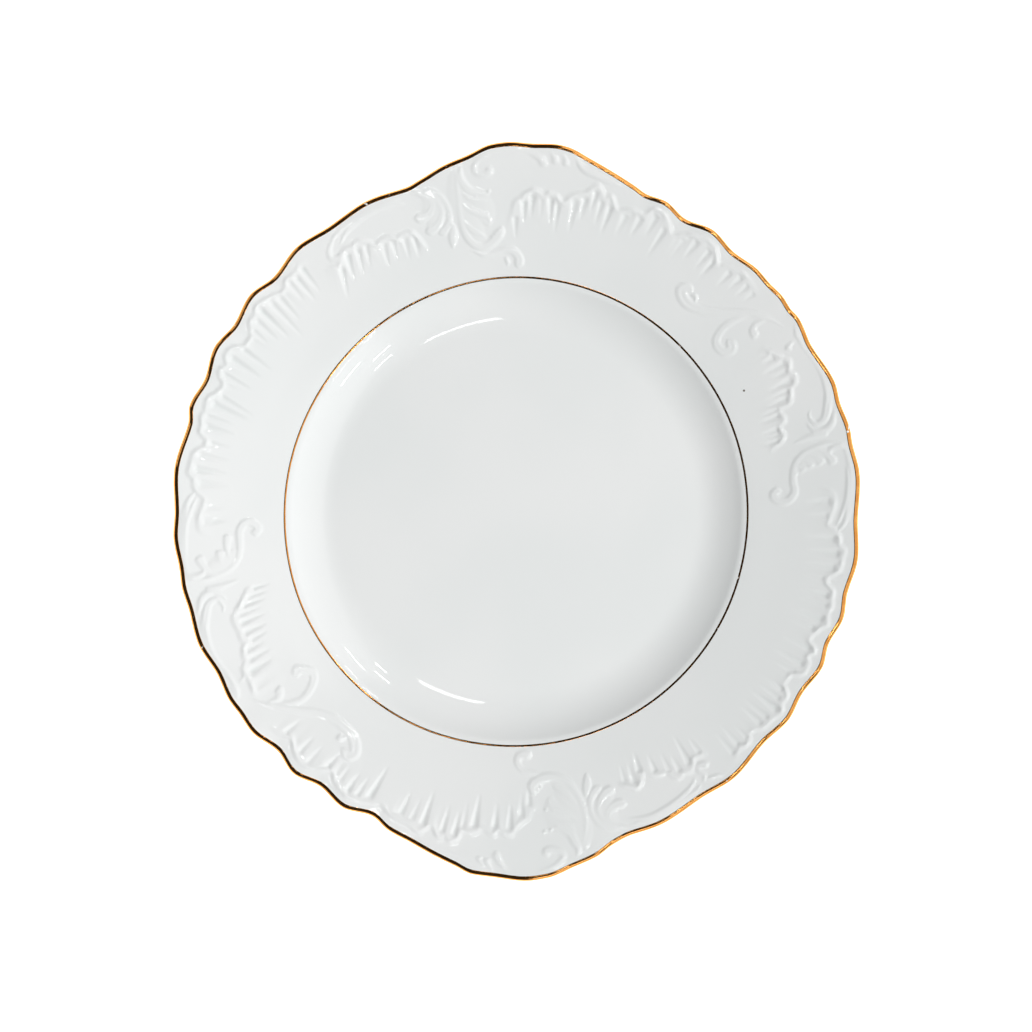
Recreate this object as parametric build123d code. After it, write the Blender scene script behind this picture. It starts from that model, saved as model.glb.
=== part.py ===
"""Relief-rimmed porcelain plate with two lobed ears, as body, glaze coats and gilding.

Row frame: +Z up, origin on the table plane under the plate's centre, ears along +Y and -Y.
The body is one fired piece: floor, curved wall, sloping flange with a scalloped edge, foot ring.
Glaze covers it all but the foot ring's base: one coat on the face, one on the back and one
inside the foot ring. A gold band wraps the lip and butts against the coats, and a thin gold
line lies over the face's glaze just outside the shoulder.
All sizes are millimetres and all angles degrees.
"""

from build123d import *
import math
import os

# ---- Driving dimensions -------------------------------------------------------------
FLOOR_TOP = 6.2  # height of the fired body's floor, before glaze
FLOOR_RADIUS = 69.1  # flat part of the floor
FLOOR_UNDERSIDE = 2.4  # height of the floor's underside inside the foot ring
WALL_FILLET = 36.0  # radius of the concave sweep from floor to wall
WALL_ANGLE = 28.0  # steepest slope of the wall
WALL_STRAIGHT = 0.4  # length of the straight stretch of the wall
SHOULDER_FILLET = 7.0  # radius of the convex turn from wall to flange
FLANGE_ANGLE = 11.0  # slope of the flange
BODY_THICKNESS = 4.0  # across the wall and the shoulder
RIM_THICKNESS = 2.9  # across the flange at its outer edge
FLANGE_REACH = 146.0  # the profile runs past the ears, and the outline trims it

FOOT_INNER, FOOT_OUTER = 71.2, 73.8  # the foot ring's flat base
FOOT_INNER_TOP = 69.6  # where its inner side meets the underside of the floor
FOOT_GLAZE_LINE = 0.8  # the glaze is wiped from the foot below this height

GLAZE = 0.25  # thickness of the glaze coats
LINE_GOLD = 0.08  # thickness that stands for the gold line's gilding
BAND_INSIDE = 1.6  # how far in from the edge the gold band reaches, in plan
BAND_GOLD = 0.7  # thickness of the gold band round the very edge
LINE_RADIUS = 88.9  # the gold line, just outside the shoulder
LINE_WIDTH = 0.75

# The finished edge as a ring of arcs, in turn (angle, radius): an arc's end, then its middle.
# Angles run anticlockwise from +X. Each scallop is one arc, so the scallops meet in notches.
# The two lobed ears are at about 88 and 270 degrees.
SCALLOPS = [
    (0.0, 129.9), (6.5, 131.06), (11.5, 130.2), (14.5, 130.7), (18.5, 129.8), (23.5, 130.6),
    (29.5, 128.7), (33.7, 130.1), (37.0, 129.5), (39.5, 130.1), (42.5, 129.3), (46.3, 130.0),
    (50.3, 128.6), (55.2, 130.6), (60.3, 128.5), (64.2, 130.9), (67.7, 130.2),
]
EAR_A = [
    (71.5, 132.4), (75.0, 134.8), (78.8, 137.3), (82.0, 139.5), (84.3, 140.3), (86.7, 139.9),
    (90.5, 140.4), (94.0, 139.8), (98.0, 136.8), (102.0, 134.3), (105.8, 131.8),
]
SCALLOPS_FAR = [
    (109.3, 130.2), (115.8, 131.0), (123.0, 129.7), (129.8, 130.8), (136.2, 128.5), (141.3, 130.6),
    (146.8, 128.8), (151.9, 130.8), (157.2, 128.8), (161.7, 130.8), (165.6, 129.3), (172.8, 131.0),
    (180.0, 129.9), (185.0, 130.9), (189.7, 130.0), (193.0, 130.4), (196.7, 130.0), (202.7, 131.0),
    (208.6, 129.6), (212.5, 130.6), (216.2, 130.3), (220.3, 131.0), (225.0, 128.6), (229.9, 130.8),
    (234.6, 128.5), (239.5, 130.5), (244.6, 128.2),
]
EAR_B = [
    (249.0, 130.9), (253.0, 132.4), (257.0, 134.8), (260.0, 136.7), (263.5, 139.0), (267.0, 139.2),
    (271.0, 140.42), (275.0, 139.5), (279.0, 136.9), (283.0, 134.3), (286.8, 131.7),
]
SCALLOPS_LAST = [
    (289.5, 130.3), (296.0, 131.0), (303.0, 129.7), (309.8, 130.7), (317.0, 128.8), (322.4, 130.5),
    (327.7, 128.8), (332.6, 130.6), (337.3, 128.9), (342.0, 130.8), (346.3, 129.6), (353.0, 131.0),
]


def outline_prism(extra):
    """A tall prism whose side is the plate's outline, extra millimetres outside the edge."""
    points = []
    for angle, radius in SCALLOPS + EAR_A + SCALLOPS_FAR + EAR_B + SCALLOPS_LAST:
        turn = math.radians(angle)
        reach = radius + extra
        points.append(Vector(reach * math.cos(turn), reach * math.sin(turn), 0))
    arcs = []
    for i in range(0, len(points), 2):
        end = points[(i + 2) % len(points)]
        arcs.append(Edge.make_three_point_arc(points[i], points[i + 1], end))
    return extrude(Face(Wire(arcs)), amount=60.0)


def slope_point(centre, radius, slope):
    """The point of a sweep about centre where a profile climbs at slope degrees."""
    turn = math.radians(slope)
    return (centre[0] + radius * math.sin(turn), centre[1] - radius * math.cos(turn))


# The wall's sweep is centred above the floor, and the shoulder's below the flange.
FILLET_CENTRE = (FLOOR_RADIUS, FLOOR_TOP + WALL_FILLET)
WALL_FOOT = slope_point(FILLET_CENTRE, WALL_FILLET, WALL_ANGLE)
WALL_HEAD = (
    WALL_FOOT[0] + WALL_STRAIGHT * math.cos(math.radians(WALL_ANGLE)),
    WALL_FOOT[1] + WALL_STRAIGHT * math.sin(math.radians(WALL_ANGLE)),
)
SHOULDER_CENTRE = slope_point(WALL_HEAD, SHOULDER_FILLET, WALL_ANGLE)


def profile_stations(offset):
    """The face's profile offset along its normal: floor end, wall foot and head, flange start."""
    fillet = WALL_FILLET - offset
    shoulder = SHOULDER_FILLET + offset
    floor_end = (FLOOR_RADIUS, FLOOR_TOP + offset)
    wall_foot = slope_point(FILLET_CENTRE, fillet, WALL_ANGLE)
    wall_head = slope_point(SHOULDER_CENTRE, -shoulder, WALL_ANGLE)
    flange_start = slope_point(SHOULDER_CENTRE, -shoulder, FLANGE_ANGLE)
    return floor_end, wall_foot, wall_head, flange_start


def mid_arc(centre, radius, slope_a, slope_b):
    return slope_point(centre, radius, (slope_a + slope_b) / 2)


def flange_height(offset, radius):
    """Height of the face's flange at a radius, offset along its normal."""
    start = profile_stations(offset)[3]
    return start[1] + (radius - start[0]) * math.tan(math.radians(FLANGE_ANGLE))


def line(a, b):
    return Edge.make_line(Vector(a[0], 0, a[1]), Vector(b[0], 0, b[1]))


def arc(a, middle, b):
    return Edge.make_three_point_arc(
        Vector(a[0], 0, a[1]), Vector(middle[0], 0, middle[1]), Vector(b[0], 0, b[1])
    )


def face_edges(offset):
    """The face from the axis out to the flange's reach, as edges of a half profile."""
    floor_end, wall_foot, wall_head, flange_start = profile_stations(offset)
    fillet = WALL_FILLET - offset
    shoulder = SHOULDER_FILLET + offset
    reach = (FLANGE_REACH, flange_height(offset, FLANGE_REACH))
    return [
        line((0, floor_end[1]), floor_end),
        arc(floor_end, mid_arc(FILLET_CENTRE, fillet, 0, WALL_ANGLE), wall_foot),
        line(wall_foot, wall_head),
        arc(wall_head, mid_arc(SHOULDER_CENTRE, -shoulder, WALL_ANGLE, FLANGE_ANGLE), flange_start),
        line(flange_start, reach),
    ], reach


def back_stations(offset):
    """The back's profile outside the foot ring, offset outwards from the body's own back."""
    outer = WALL_FILLET + BODY_THICKNESS + offset
    inner = SHOULDER_FILLET - BODY_THICKNESS - offset
    wall_foot = slope_point(FILLET_CENTRE, outer, WALL_ANGLE)
    wall_head = slope_point(SHOULDER_CENTRE, -inner, WALL_ANGLE)
    flange_start = slope_point(SHOULDER_CENTRE, -inner, FLANGE_ANGLE)
    rim_drop = (RIM_THICKNESS + offset) / math.cos(math.radians(FLANGE_ANGLE))
    reach = (FLANGE_REACH, flange_height(0, FLANGE_REACH) - rim_drop)
    # The foot ring's outer side meets the wall's sweep at this slope.
    foot_radius = FOOT_OUTER + 1.7 + offset
    foot_slope = math.degrees(math.asin((foot_radius - FLOOR_RADIUS) / outer))
    foot_top = slope_point(FILLET_CENTRE, outer, foot_slope)
    return foot_top, foot_slope, wall_foot, wall_head, flange_start, reach


def back_edges(offset):
    """The back from the foot ring's outer side to the flange's reach."""
    foot_top, foot_slope, wall_foot, wall_head, flange_start, reach = back_stations(offset)
    outer = WALL_FILLET + BODY_THICKNESS + offset
    inner = SHOULDER_FILLET - BODY_THICKNESS - offset
    return [
        arc(foot_top, mid_arc(FILLET_CENTRE, outer, foot_slope, WALL_ANGLE), wall_foot),
        line(wall_foot, wall_head),
        arc(wall_head, mid_arc(SHOULDER_CENTRE, -inner, WALL_ANGLE, FLANGE_ANGLE), flange_start),
        line(flange_start, reach),
    ], foot_top, reach


def turned(edges):
    """The solid that a closed half profile sweeps round the Z axis."""
    return revolve(Face(Wire(edges)), axis=Axis.Z, revolution_arc=360)


def porcelain_body():
    """The fired body, cut square at the edge under the gold band."""
    top, top_reach = face_edges(0)
    back, foot_top, back_reach = back_edges(0)
    foot = [
        (0, FLOOR_UNDERSIDE), (FOOT_INNER_TOP, FLOOR_UNDERSIDE), (FOOT_INNER, 0),
        (FOOT_OUTER, 0), foot_top,
    ]
    under = [line(a, b) for a, b in zip(foot, foot[1:])]
    closing = [line((0, FLOOR_UNDERSIDE), (0, FLOOR_TOP)), line(top_reach, back_reach)]
    return turned(top + back + under + closing) & outline_prism(-BAND_GOLD)


def face_glaze():
    """The coat over the face, as far as the gold band."""
    low, low_reach = face_edges(0)
    high, high_reach = face_edges(GLAZE)
    closing = [line((0, FLOOR_TOP), (0, FLOOR_TOP + GLAZE)), line(low_reach, high_reach)]
    return turned(low + high + closing) & outline_prism(-BAND_INSIDE)


def back_glaze():
    """The coat over the back, from the foot ring's outer side to the gold band."""
    inner, inner_foot_top, inner_reach = back_edges(0)
    outer, outer_foot_top, outer_reach = back_edges(GLAZE)
    lean = (inner_foot_top[0] - FOOT_OUTER) / inner_foot_top[1]
    inner_low = (FOOT_OUTER + lean * FOOT_GLAZE_LINE, FOOT_GLAZE_LINE)
    outer_low = (inner_low[0] + GLAZE, FOOT_GLAZE_LINE)
    closing = [
        line(inner_foot_top, inner_low), line(inner_low, outer_low),
        line(outer_low, outer_foot_top), line(inner_reach, outer_reach),
    ]
    return turned(inner + outer + closing) & outline_prism(-BAND_INSIDE)


def base_glaze():
    """The coat inside the foot ring: the underside of the floor and the ring's inner side."""
    lean = (FOOT_INNER_TOP - FOOT_INNER) / FLOOR_UNDERSIDE
    outer_low = (FOOT_INNER + lean * FOOT_GLAZE_LINE, FOOT_GLAZE_LINE)
    inner_low = (outer_low[0] - GLAZE, FOOT_GLAZE_LINE)
    inner_high = (FOOT_INNER_TOP - GLAZE, FLOOR_UNDERSIDE - GLAZE)
    ring = [
        (0, FLOOR_UNDERSIDE), (FOOT_INNER_TOP, FLOOR_UNDERSIDE), outer_low, inner_low,
        inner_high, (0, FLOOR_UNDERSIDE - GLAZE),
    ]
    return turned([line(a, b) for a, b in zip(ring, ring[1:] + ring[:1])])


def gold_rim_band(body):
    """The gold that wraps the lip and closes over the body's square edge."""
    top, top_reach = face_edges(GLAZE)
    back, foot_top, back_reach = back_edges(GLAZE)
    low = foot_top[1]
    closing = [
        line((0, low), foot_top), line((0, low), (0, FLOOR_TOP + GLAZE)),
        line(top_reach, back_reach),
    ]
    finished = turned(top + back + closing) & outline_prism(0)
    return finished - outline_prism(-BAND_INSIDE) - body


def gold_inner_line():
    """The thin gold line just outside the shoulder, laid on the flange's glaze."""
    corners = []
    for radius, lift in ((-1, 0), (1, 0), (1, 1), (-1, 1)):
        at = LINE_RADIUS + radius * LINE_WIDTH / 2
        drop = LINE_GOLD / math.cos(math.radians(FLANGE_ANGLE))
        corners.append((at, flange_height(GLAZE, at) + lift * drop))
    return turned([line(a, b) for a, b in zip(corners, corners[1:] + corners[:1])])


body = porcelain_body()
nodes = {
    "porcelain_body": body,
    "face_glaze": face_glaze(),
    "back_glaze": back_glaze(),
    "base_glaze": base_glaze(),
    "gold_rim_band": gold_rim_band(body),
    "gold_inner_line": gold_inner_line(),
}
os.makedirs("parts", exist_ok=True)
for name, shape in nodes.items():
    export_step(shape, f"parts/{name}.step")
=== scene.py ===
"""White porcelain plate with moulded scrollwork and gold edging, seen from straight above.

Lengths are millimetres and angles are degrees, anticlockwise from +X, up to the section on
the floor, lights and camera, which is in metres.
"""

import bpy
import math
import numpy as np
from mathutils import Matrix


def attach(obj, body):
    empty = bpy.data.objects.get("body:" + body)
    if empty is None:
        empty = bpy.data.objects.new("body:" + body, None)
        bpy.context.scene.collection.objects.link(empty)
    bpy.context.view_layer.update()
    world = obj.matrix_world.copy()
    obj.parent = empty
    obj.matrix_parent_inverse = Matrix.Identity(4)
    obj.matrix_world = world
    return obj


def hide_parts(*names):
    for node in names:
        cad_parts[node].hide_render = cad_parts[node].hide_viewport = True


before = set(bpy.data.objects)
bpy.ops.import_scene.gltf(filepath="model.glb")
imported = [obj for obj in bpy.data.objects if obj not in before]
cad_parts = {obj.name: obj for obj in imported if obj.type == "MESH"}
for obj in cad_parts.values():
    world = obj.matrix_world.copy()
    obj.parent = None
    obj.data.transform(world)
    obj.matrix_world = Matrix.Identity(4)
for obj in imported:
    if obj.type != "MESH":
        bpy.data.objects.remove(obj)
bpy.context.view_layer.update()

MM = 0.001

# ---- The plate's profile, glaze included ----------------------------------------------
FLOOR_Z = 6.45  # height of the floor of the well
FLOOR_R = 69.1  # its flat part
SWEEP_CENTRE = (69.1, 42.2)  # (radius, height) of the centre of the wall's sweep
SWEEP_R = 35.75
WALL_SLOPE = math.radians(28.0)
SHOULDER_CENTRE = (89.64, 4.421)  # of the turn from the wall to the flange
SHOULDER_R = 7.25
FLANGE_SLOPE = math.radians(11.0)
BACK_SWEEP_R = 40.25  # the back's sweep and turn, about the same centres
BACK_SHOULDER_R = 2.75
BACK_END = (146.0, 19.30)  # where the back of the flange is heading, past the rim
BACK_JOIN_R = 89.2  # where the flange's back meets the wall's
FOOT_OUT = 75.75  # where the back's glaze turns down the foot ring
LINE_R = 88.9  # the middle of the gold line
LINE_HALF = 0.4  # half its width
LINE_CROWN = 0.06  # how far its middle stands proud
LINE_SINK = 0.005  # how far its edges lie in the glaze
LIP_DEPTH = 1.85  # how far in from the edge the rounded lip starts
BAND_IN = 1.95  # how far in the gold reaches on the face
BAND_BACK = 2.2  # and on the back
BAND_LIFT = 0.03  # how far the gold stands over the glaze
WAVE_SHARE = 0.3  # how much the rim rises for each millimetre that it stands out
WAVE_TOP = 0.25  # its largest rise and fall
WAVE_REACH = 5.0  # how fast that fades inwards
WAVE_SPAN = 45  # how far round the edge's mean is taken: this fraction of a turn, each way

# How far the shoulder and its gold line stray from a true circle, as (angle, millimetres)
DRIFT = [
    (0, -1.0), (30, -0.5), (60, 0.0), (88, 0.5), (120, -0.45), (150, -1.15), (180, -0.6),
    (210, 0.75), (240, 1.3), (270, 0.35), (300, 0.0), (330, -0.4),
]

# ---- The outline: hollows and crests, as (angle, radius) ------------------------------
OUTLINE = [
    (6.5, 131.2), (11.5, 130.3), (14, 130.6), (18.5, 129.8), (22, 130.6), (29.5, 128.7),
    (34.5, 130.1), (36.5, 129.6), (39, 130.1), (42, 129.6), (45, 129.9), (50, 128.7),
    (55, 130.5), (60, 128.5), (64.5, 130.9), (67.5, 130.4), (70, 131.7), (74, 134.1),
    (78, 136.8), (82, 139.8), (84, 140.3), (87.5, 139.9), (91, 140.4), (94, 139.8),
    (98, 136.6), (102, 134.4), (106, 131.6), (109, 130.2), (115.5, 131.1), (123.5, 129.75),
    (129.5, 130.8), (136, 128.5), (141, 130.6), (146.5, 128.9), (151.5, 130.8), (157, 128.9),
    (162, 130.7), (165, 129.3), (173, 131.1), (180, 130.0), (184.5, 130.8), (189.5, 130.05),
    (193, 130.5), (196.5, 130.1), (202.5, 131.1), (208.5, 129.6), (213.5, 130.75),
    (216, 130.5), (219.5, 131.0), (225, 128.7), (229.5, 130.85), (234.5, 128.55),
    (239.5, 130.5), (244.5, 128.2), (248, 130.6), (252, 132.0), (256, 134.2), (260, 136.6),
    (263, 138.8), (266.5, 139.2), (271.5, 140.3), (275, 139.6), (279, 136.9), (283, 134.7),
    (286.5, 131.6), (289.5, 130.5), (294.5, 131.1), (303, 129.7), (309, 130.8), (317, 128.9),
    (322.5, 130.3), (327.5, 128.9), (333, 130.5), (337, 129.0), (342, 130.7), (346, 129.6),
    (352, 131.0), (358.5, 129.8),
]


def outline_radius(deg):
    """The finished edge's radius at these angles, smooth through OUTLINE."""
    t = np.array([p[0] for p in OUTLINE], float)
    r = np.array([p[1] for p in OUTLINE], float)
    t = np.concatenate([t[-3:] - 360, t, t[:3] + 360])
    r = np.concatenate([r[-3:], r, r[:3]])
    # a monotone cubic, whose slopes are limited so that no crest overshoots
    step = np.diff(t)
    rise = np.diff(r) / step
    slope = np.zeros_like(r)
    same = rise[1:] * rise[:-1] > 0
    mean = 2 * rise[1:] * rise[:-1] / np.where(same, rise[1:] + rise[:-1], 1)
    slope[1:-1] = np.where(same, mean, 0)
    deg = np.mod(deg, 360.0)
    i = np.clip(np.searchsorted(t, deg, side="right") - 1, 0, len(t) - 2)
    u = (deg - t[i]) / step[i]
    return (
        (2 * u**3 - 3 * u**2 + 1) * r[i]
        + (u**3 - 2 * u**2 + u) * step[i] * slope[i]
        + (-2 * u**3 + 3 * u**2) * r[i + 1]
        + (u**3 - u**2) * step[i] * slope[i + 1]
    )


def profile(r, sweep_r, shoulder_r, end=None):
    """Heights at radii r of a wall's sweep, slope and shoulder, and of the flange.

    The flange heads for end, or else slopes at FLANGE_SLOPE.
    """
    foot = SWEEP_CENTRE[0] + sweep_r * math.sin(WALL_SLOPE)
    head = SHOULDER_CENTRE[0] - shoulder_r * math.sin(WALL_SLOPE)
    start = SHOULDER_CENTRE[0] - shoulder_r * math.sin(FLANGE_SLOPE)
    sweep = SWEEP_CENTRE[1] - np.sqrt(np.maximum(sweep_r**2 - (r - SWEEP_CENTRE[0]) ** 2, 0))
    foot_z = SWEEP_CENTRE[1] - sweep_r * math.cos(WALL_SLOPE)
    wall = foot_z + (r - foot) * math.tan(WALL_SLOPE)
    turn_in = np.maximum(shoulder_r**2 - (r - SHOULDER_CENTRE[0]) ** 2, 0)
    shoulder = SHOULDER_CENTRE[1] + np.sqrt(turn_in)
    start_z = SHOULDER_CENTRE[1] + shoulder_r * math.cos(FLANGE_SLOPE)
    rise = (end[1] - start_z) / (end[0] - start) if end else math.tan(FLANGE_SLOPE)
    zones = [r < foot, r < head, r < start]
    return np.select(zones, [sweep, wall, shoulder], start_z + (r - start) * rise)


def face_z(r):
    """Height of the plain face over the table at radius r."""
    return np.where(r < FLOOR_R, FLOOR_Z, profile(r, SWEEP_R, SHOULDER_R))


def back_z(r):
    """Height of the back over the table at radius r, outside the foot ring."""
    return profile(r, BACK_SWEEP_R, BACK_SHOULDER_R, BACK_END)


def rim_wave(edge, r):
    """The scallops' rise and fall at radius r, fading inwards from the edge."""
    kernel = np.hanning(2 * (len(edge) // WAVE_SPAN) + 1)
    ring = np.concatenate([edge[-len(kernel) :], edge, edge[: len(kernel)]])
    mean = np.convolve(ring, kernel / kernel.sum(), "same")[len(kernel) : -len(kernel)]
    lift = np.clip(WAVE_SHARE * (edge - mean), -WAVE_TOP, WAVE_TOP)
    return lift[:, None] * np.exp(-np.maximum(edge[:, None] - r, 0) / WAVE_REACH)


# ---- The relief, drawn as strokes on the flange ---------------------------------------
N_ANGLE = 1800  # the flange's grid, round the plate and across the flange
N_RING = 112
FLANGE_IN = 88.6  # its inner edge, under the gold line
END_FADE = 14  # shells at their ends, and the relief at the lip, fade over this fraction

SHELL_HEIGHT = 0.44  # how high a shell's edge stands
SHELL_REACH = 14.0  # how far in from its edge a shell is worked
SHELL_RAMP = 4.6  # how fast it falls inwards
SHELL_STEP = 2.0  # how wide its outer step is
EDGE_LEAST, EDGE_MORE = 0.72, 0.56  # how a shell's height varies with its streaks

STREAK_DEPTH = 0.6
STREAK_START, STREAK_REACH = 0.7, 3.6  # how fast a streak deepens from the edge, and fades
STREAK_PITCH = 0.85  # degrees
STREAKS = np.random.default_rng(11).random(423) ** 1.5

# What the tables' widths, heights and depths are multiplied by
STROKE_WIDTH, TAIL_WIDTH, STROKE_HEIGHT, GROOVE_DEPTH = 1.5, 1.75, 0.55, 0.7
FLUTE_WIDTH, FLUTE_DEPTH = 1.15, 0.8

FLUTE_TAPER = 0.35  # a flute's inner width as a share of its outer
GROUND_SHARE = 0.35  # how much of the ground's height a stroke takes on
BEAD_SIZE, BEAD_HEIGHT = 0.8, 0.4


def curve_points(polar, per_span=10):
    """A smooth curve through (angle, radius) points, as plan x, y in millimetres."""
    a = np.radians([p[0] for p in polar])
    r = np.array([p[1] for p in polar], float)
    pts = np.stack([r * np.cos(a), r * np.sin(a)], 1)
    if len(pts) == 2:
        return pts
    ext = np.vstack([2 * pts[0] - pts[1], pts, 2 * pts[-1] - pts[-2]])
    out = []
    for i in range(len(pts) - 1):
        p0, p1, p2, p3 = ext[i : i + 4]
        u = np.linspace(0, 1, per_span, endpoint=False)[:, None]
        square = 2 * p0 - 5 * p1 + 4 * p2 - p3
        cube = 3 * p1 - p0 - 3 * p2 + p3
        out.append(0.5 * (2 * p1 + (p2 - p0) * u + square * u**2 + cube * u**3))
    out.append(pts[-1:])
    return np.vstack(out)


class Relief:
    """A height field over the flange's grid of points."""

    def __init__(self, x, y):
        self.x, self.y = x, y
        self.up = np.zeros_like(x)
        self.down = np.zeros_like(x)
        self.base = np.zeros_like(x)

    def near(self, polar, reach, per_span=10):
        """Indices of the grid near a curve, and for each its distance and share of the way."""
        pts = curve_points(polar, per_span)
        low, high = pts.min(0) - reach, pts.max(0) + reach
        inside = (self.x > low[0]) & (self.x < high[0]) & (self.y > low[1]) & (self.y < high[1])
        at = np.nonzero(inside)
        x, y = self.x[at], self.y[at]
        leg = np.diff(pts, axis=0)
        length = np.hypot(leg[:, 0], leg[:, 1])
        run = np.concatenate([[0], np.cumsum(length)])
        best = np.full(x.shape, 1e9)
        share = np.zeros(x.shape)
        for i in range(len(leg)):
            dx, dy = x - pts[i, 0], y - pts[i, 1]
            u = np.clip((dx * leg[i, 0] + dy * leg[i, 1]) / length[i] ** 2, 0, 1)
            ox, oy = dx - u * leg[i, 0], dy - u * leg[i, 1]
            d = np.hypot(ox, oy)
            better = d < best
            best = np.where(better, d, best)
            share = np.where(better, (run[i] + u * length[i]) / run[-1], share)
        return at, best, share

    def ridge(self, polar, width, height, form, groove):
        """A raised stroke with firm sides and a hollow along its middle."""
        at, d, t = self.near(polar, width)
        size = FORMS[form](t)
        u = d / np.maximum(width / 2 * size, 1e-6)
        body = np.maximum(1 - u**2.6, 0) ** 1.3 * height * (0.4 + 0.6 * size)
        if groove:
            body = body - groove * np.exp(-((u / 0.34) ** 2)) * np.clip(size * 2 - 0.7, 0, 1)
        self.up[at] = np.maximum(self.up[at], body)

    def flute(self, outer, inner, width, depth):
        """A hollow from outer, where it is deep, to inner, where it fades out."""
        at, d, t = self.near([outer, inner], width)
        w = width / 2 * (1 - (1 - FLUTE_TAPER) * t)
        u = d / np.maximum(w, 1e-6)
        hollow = np.maximum(1 - u**2, 0) ** 1.4 * depth
        body = hollow * (1 - t) ** 0.8 * np.clip(t * 9, 0, 1)
        self.down[at] = np.maximum(self.down[at], body)

    def shell(self, lip):
        """A shell: the face ramps up outwards to its uneven edge, then steps down."""
        lip = sorted(lip)
        t = np.array([p[0] for p in lip], float)
        r = np.array([p[1] for p in lip], float)
        at, d, share = self.near(lip, SHELL_REACH, 5)
        deg = np.degrees(np.arctan2(self.y[at], self.x[at]))
        deg = deg + 360 * np.round(((t[0] + t[-1]) / 2 - deg) / 360)
        inside = np.interp(deg, t, r) > np.hypot(self.x[at], self.y[at])
        streaks = self.streaks(deg)
        ramp = SHELL_HEIGHT * np.exp(-d / SHELL_RAMP) * np.clip((SHELL_REACH - d) / 4, 0, 1)
        cut = STREAK_DEPTH * streaks * np.exp(-d / STREAK_REACH) * (1 - np.exp(-d / STREAK_START))
        ramp = ramp - cut
        fall = np.clip(d / SHELL_STEP, 0, 1)
        step = SHELL_HEIGHT * (1 - fall * fall * (3 - 2 * fall))
        ends = np.clip(share * END_FADE, 0, 1) * np.clip((1 - share) * END_FADE, 0, 1)
        body = np.where(inside, ramp, step) * ends * (EDGE_LEAST + EDGE_MORE * streaks)
        self.base[at] = np.maximum(body, self.base[at])

    def streaks(self, deg):
        """Fine uneven hollows that run in from a shell's edge, nought to one over angle."""
        pitch = np.mod(deg, 360) / STREAK_PITCH
        cell = np.floor(pitch).astype(int)
        blend = pitch - cell
        blend = blend * blend * (3 - 2 * blend)
        this = STREAKS[cell % len(STREAKS)]
        following = STREAKS[(cell + 1) % len(STREAKS)]
        return this * (1 - blend) + following * blend

    def bead(self, deg, r):
        """A small round boss."""
        a = math.radians(deg)
        u = np.hypot(self.x - r * math.cos(a), self.y - r * math.sin(a)) / BEAD_SIZE
        self.up = np.maximum(self.up, np.maximum(1 - u**2, 0) ** 1.1 * BEAD_HEIGHT)

    def height(self):
        """The strokes over the shells' edges and flutes."""
        ground = self.base - self.down
        stroke = np.maximum(ground, self.up + GROUND_SHARE * ground)
        return np.where(self.up > 0, stroke, ground)


# How wide a stroke is along its way, from nought at its start to one at its end
FORMS = {
    "leaf": lambda t: np.sin(np.pi * np.clip(t, 0, 1)) ** 0.6,
    "drop": lambda t: np.clip(t * 14, 0, 1) ** 0.5 * (1 - t) ** 0.7,
    "tail": lambda t: (
        (0.5 * np.clip(t * 5, 0, 1) + 0.5 * t**2) * np.clip((1 - t) * 14, 0, 1) ** 0.5
    ),
    "swell": lambda t: 0.45 + 0.55 * np.sin(np.pi * np.clip(t, 0, 1)),
}

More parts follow.
